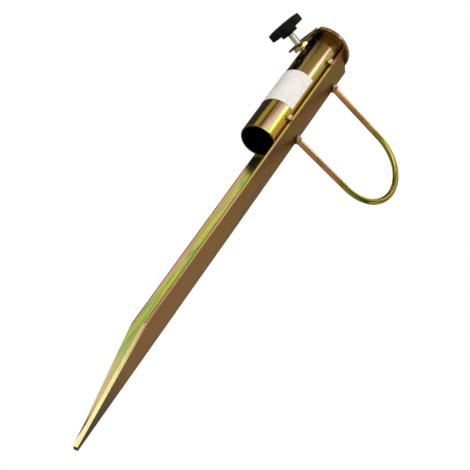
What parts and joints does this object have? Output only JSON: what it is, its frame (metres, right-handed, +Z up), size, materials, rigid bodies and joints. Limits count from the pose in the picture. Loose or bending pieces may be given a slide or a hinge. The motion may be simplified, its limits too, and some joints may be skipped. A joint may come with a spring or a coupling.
{
  "type": "umbrella ground spike",
  "caption": "Steel ground spike for a garden umbrella: pointed angle bar, tube socket with collar, star-knob clamp screw and a U handle.",
  "frame": {"origin": "on the pole socket's axis at the soil line, 140 mm below the top of the collar", "axes": "+Z up along the socket, away from the point; +X from the socket towards the handle; the clamp screw comes in from -X"},
  "size_m": [0.2039, 0.0544, 0.567],
  "materials": {
    "zinc_yellow": "yellow chromate zinc plate, glossy with rainbow streaks",
    "zinc_copper": "yellow chromate zinc plate, copper-gold and glossy",
    "nut_gold": "yellow zinc plate, satin",
    "screw_silver": "bright zinc plate with a faint green tint",
    "weld_steel": "plated weld bead, satin",
    "knob_black": "matte black moulded plastic",
    "label_paper": "off-white coated paper label, blank"
  },
  "bodies": {
    "spike": {"spike_angle": "zinc_yellow", "socket_tube": "zinc_yellow", "top_collar": "zinc_yellow", "screw_lug": "zinc_yellow", "clamp_nut": "nut_gold", "handle_bar": "zinc_copper", "weld_handle_upper": "weld_steel", "weld_handle_lower": "weld_steel", "weld_tube_near_upper": "weld_steel", "weld_tube_near_lower": "weld_steel", "weld_tube_far_upper": "weld_steel", "weld_tube_far_lower": "weld_steel", "weld_collar": "weld_steel", "weld_lug": "weld_steel", "paper_label": "label_paper"},
    "screw_point": {"screw_point": "screw_silver"},
    "clamp_screw": {"screw_rod": "screw_silver", "star_knob": "knob_black"}
  },
  "joints": [
    {"name": "screw_travel", "type": "slide", "parent": "spike", "child": "screw_point", "axis": [0.9945, 0, -0.1045], "range_m": [-0.0025, 0.0125]},
    {"name": "screw_turn", "type": "hinge", "parent": "screw_point", "child": "clamp_screw", "pos_m": [-0.019, 0, 0.1136], "axis": [0.9945, 0, -0.1045], "range_deg": [-725, 3605]}
  ],
  "couplings": [
    {"joint": "screw_turn", "follows": "screw_travel", "rad_per_m": 5026.5}
  ]
}
